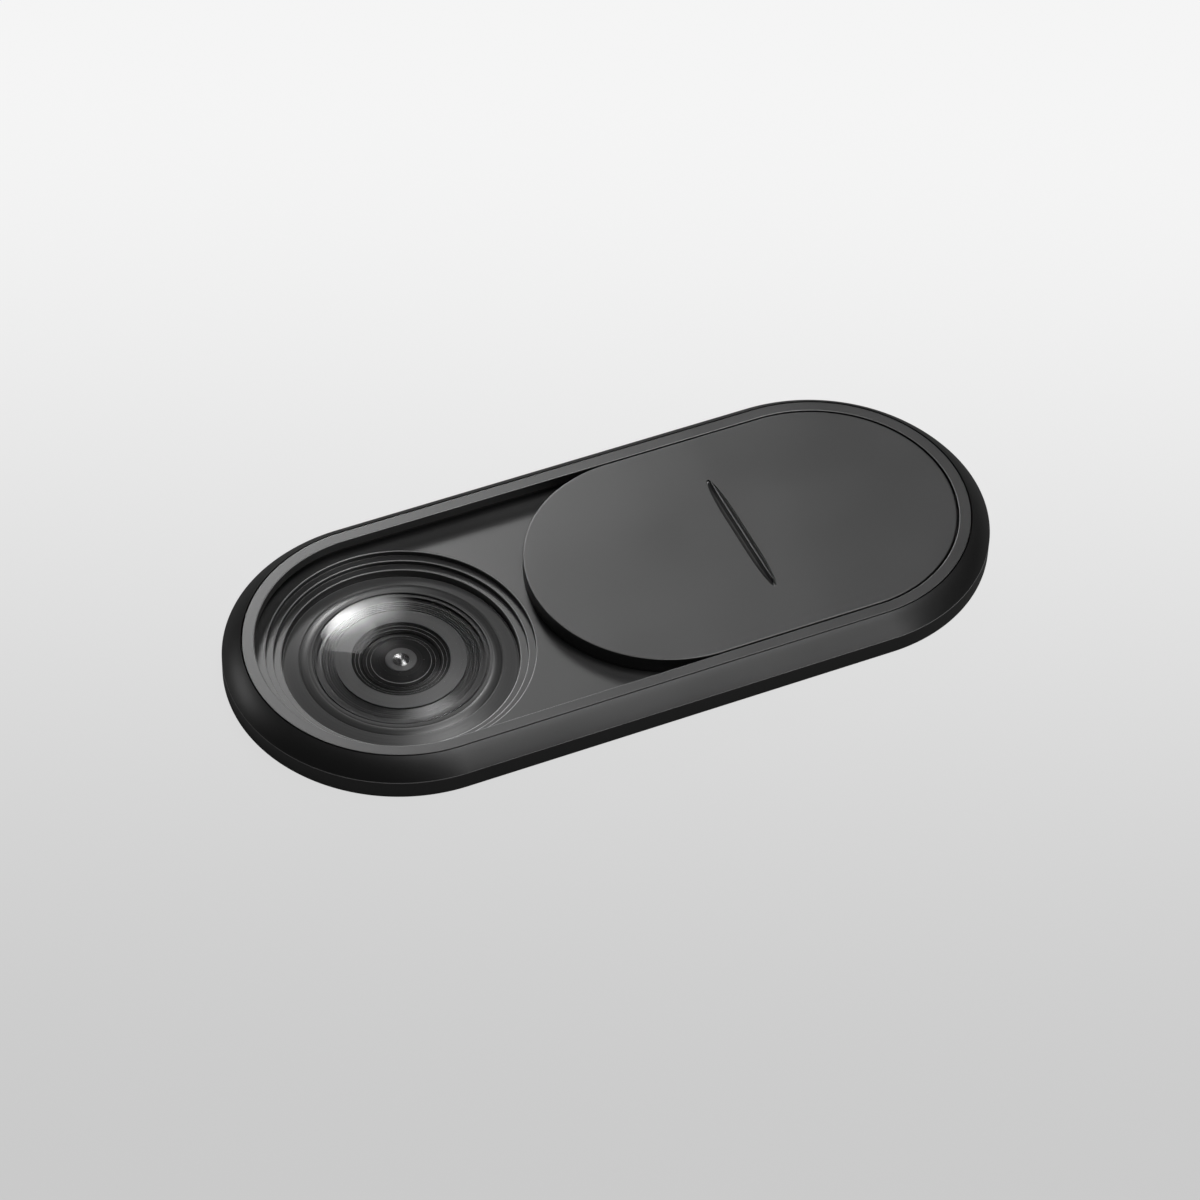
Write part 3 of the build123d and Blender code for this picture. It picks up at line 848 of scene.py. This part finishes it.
def feather(lamp, middle=(0.5, 0.5), reach=0.49, base=0.0, flags=()):
    """Fades a lamp from its bright middle to a base level at reach from it, in shares of the lamp's sides.
    A flag is a straight card before the lamp: a direction, and how far along it the light goes."""
    lamp.use_nodes = True
    tree = lamp.node_tree
    tree.nodes.clear()
    place = add(tree, "ShaderNodeNewGeometry", {}).outputs["Parametric"]
    out = add(tree, "ShaderNodeVectorMath", {0: place, 1: (*middle, 0)}, operation="DISTANCE")
    soft = add(tree, "ShaderNodeMapRange", {
        "Value": out.outputs["Value"], "From Min": reach, "From Max": 0.0, "To Min": base, "To Max": 1.0,
    }, interpolation_type="SMOOTHSTEP")
    power = soft.outputs["Result"]
    for side, limit in flags:
        along = add(tree, "ShaderNodeVectorMath", {0: place, 1: side}, operation="DOT_PRODUCT")
        kept = add(tree, "ShaderNodeMath", {0: along.outputs["Value"], 1: limit}, operation="LESS_THAN")
        cut = add(tree, "ShaderNodeMath", {0: power, 1: kept.outputs["Value"]}, operation="MULTIPLY")
        power = cut.outputs["Value"]
    glow = add(tree, "ShaderNodeEmission", {"Strength": power})
    add(tree, "ShaderNodeOutputLight", {"Surface": glow.outputs["Emission"]})


key_flags = [
    ((-0.735, 1, 0), 0.626),
    ((1, -0.082, 0), 0.881),
    ((0.544, -1, 0), 0.077),
    ((0.142, 1, 0), 1.064),
]
key_lamp = softbox("key_softbox", bearing=7.4, elevation=37.5, width=41.5, height=29, radiance=49, roll=63)
feather(key_lamp, middle=(0.37, 0.42), reach=0.40, base=0.09, flags=key_flags)
glow_lamp = softbox("glow_softbox", bearing=12.5, elevation=32.0, width=44, height=44, radiance=15.5)
feather(glow_lamp)
softbox("overhead_softbox", bearing=60, elevation=70, width=30, height=30, radiance=8.5)
softbox("top_softbox", bearing=120, elevation=75, width=60, height=60, radiance=5.0)
softbox("front_softbox", bearing=156, elevation=32, width=34, height=150, radiance=1.5)
softbox("left_softbox", bearing=-50, elevation=17, width=50, height=40, radiance=1.2)

room = bpy.data.worlds.new("dim_room")
bpy.context.scene.world = room
room.use_nodes = True
room.node_tree.nodes.clear()
dim_light = add(room.node_tree, "ShaderNodeBackground", {"Color": linear("#e8e8ea"), "Strength": 0.02})
add(room.node_tree, "ShaderNodeOutputWorld", {"Surface": dim_light.outputs["Background"]})

# Camera: a long lens above the near left, looking down on the middle of the part, as the picture was taken.
# It is rolled a little, and moved sideways and down by fractions of a millimetre to frame the part.
CAMERA_RISE = math.radians(46.709)
CAMERA_ROLL = math.radians(2.104)
CAMERA_DISTANCE = 105.10
CAMERA_SIDEWAYS = -0.2459
CAMERA_UPWARD = -0.0336
camera_data = bpy.data.cameras.new("camera")
camera_data.sensor_width = 36.0
camera_data.lens = 141.06
camera_data.clip_start = 5 * MM
camera_data.clip_end = 10.0
camera = bpy.data.objects.new("camera", camera_data)
back = Vector((
    math.sin(VIEW_BEARING) * math.cos(CAMERA_RISE),
    -math.cos(VIEW_BEARING) * math.cos(CAMERA_RISE),
    math.sin(CAMERA_RISE),
))
level_right = Vector((math.cos(VIEW_BEARING), math.sin(VIEW_BEARING), 0))
level_up = back.cross(level_right)
right = math.cos(CAMERA_ROLL) * level_right + math.sin(CAMERA_ROLL) * level_up
up = -math.sin(CAMERA_ROLL) * level_right + math.cos(CAMERA_ROLL) * level_up
eye = Vector((0, 0, PAD_TOP)) + CAMERA_DISTANCE * back + CAMERA_SIDEWAYS * right + CAMERA_UPWARD * up
camera.matrix_world = Matrix.Translation(eye * MM) @ Matrix((right, up, back)).transposed().to_4x4()
bpy.context.scene.collection.objects.link(camera)
bpy.context.scene.camera = camera
bpy.context.scene.view_settings.view_transform = "Standard"
